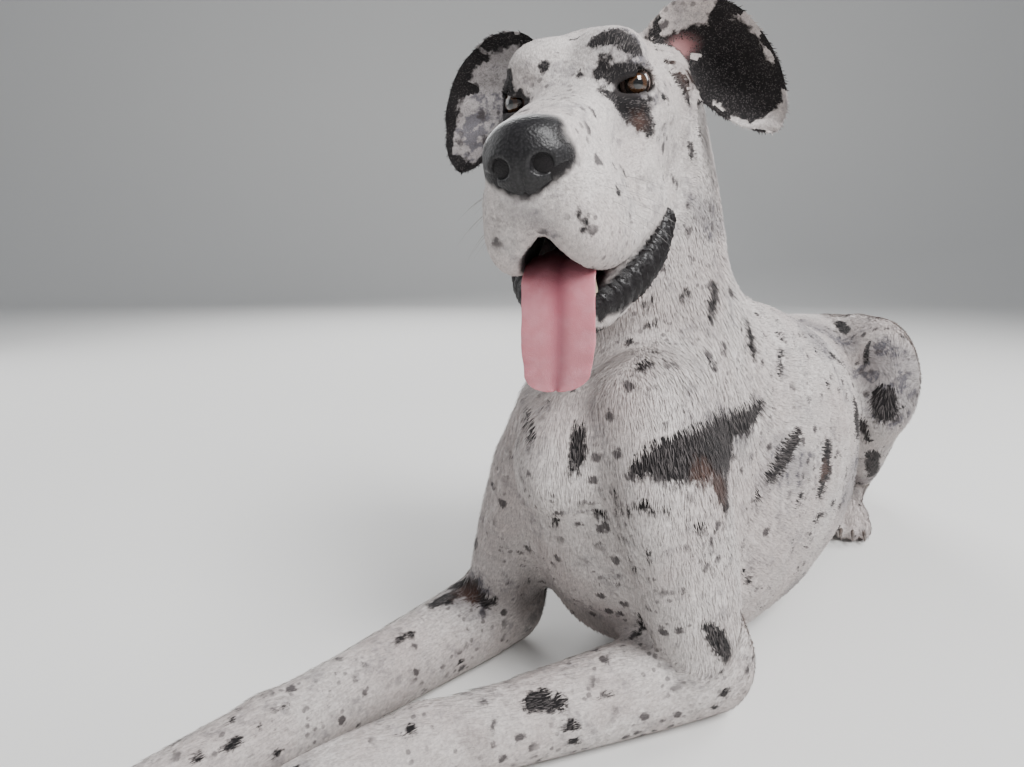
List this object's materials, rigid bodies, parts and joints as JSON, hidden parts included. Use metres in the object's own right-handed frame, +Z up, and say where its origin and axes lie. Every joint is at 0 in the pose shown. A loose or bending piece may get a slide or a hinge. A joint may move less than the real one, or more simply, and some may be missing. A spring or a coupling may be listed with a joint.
{
  "type": "great dane",
  "caption": "Harlequin great dane lying on its chest with forelegs stretched forward, head raised and turned to its left, mouth open and tongue hanging out.",
  "frame": {"origin": "middle of the bounding box's underside, on the floor", "axes": "+Z up, -Y the way the dog's chest faces, +X the dog's left side; the dog's length runs along Y"},
  "size_m": [0.5518, 1.6072, 0.7037],
  "materials": {
    "coat": "matte",
    "nose": "satin",
    "lips": "glossy",
    "tongue": "satin",
    "eye": "glossy"
  },
  "bodies": {
    "root": {"head": "coat", "nose": "nose", "eye_left": "eye", "eye_right": "eye", "ear_left": "coat", "ear_right": "coat", "lower_jaw": "lips", "tongue": "tongue", "neck": "coat", "chest": "coat", "belly": "coat", "rump": "coat", "tail": "coat", "upper_arm_left": "coat", "forearm_left": "coat", "fore_paw_left": "coat", "thigh_left": "coat", "shank_left": "coat", "hind_foot_left": "coat", "upper_arm_right": "coat", "forearm_right": "coat", "fore_paw_right": "coat", "thigh_right": "coat", "shank_right": "coat", "hind_foot_right": "coat"}
  },
  "joints": []
}
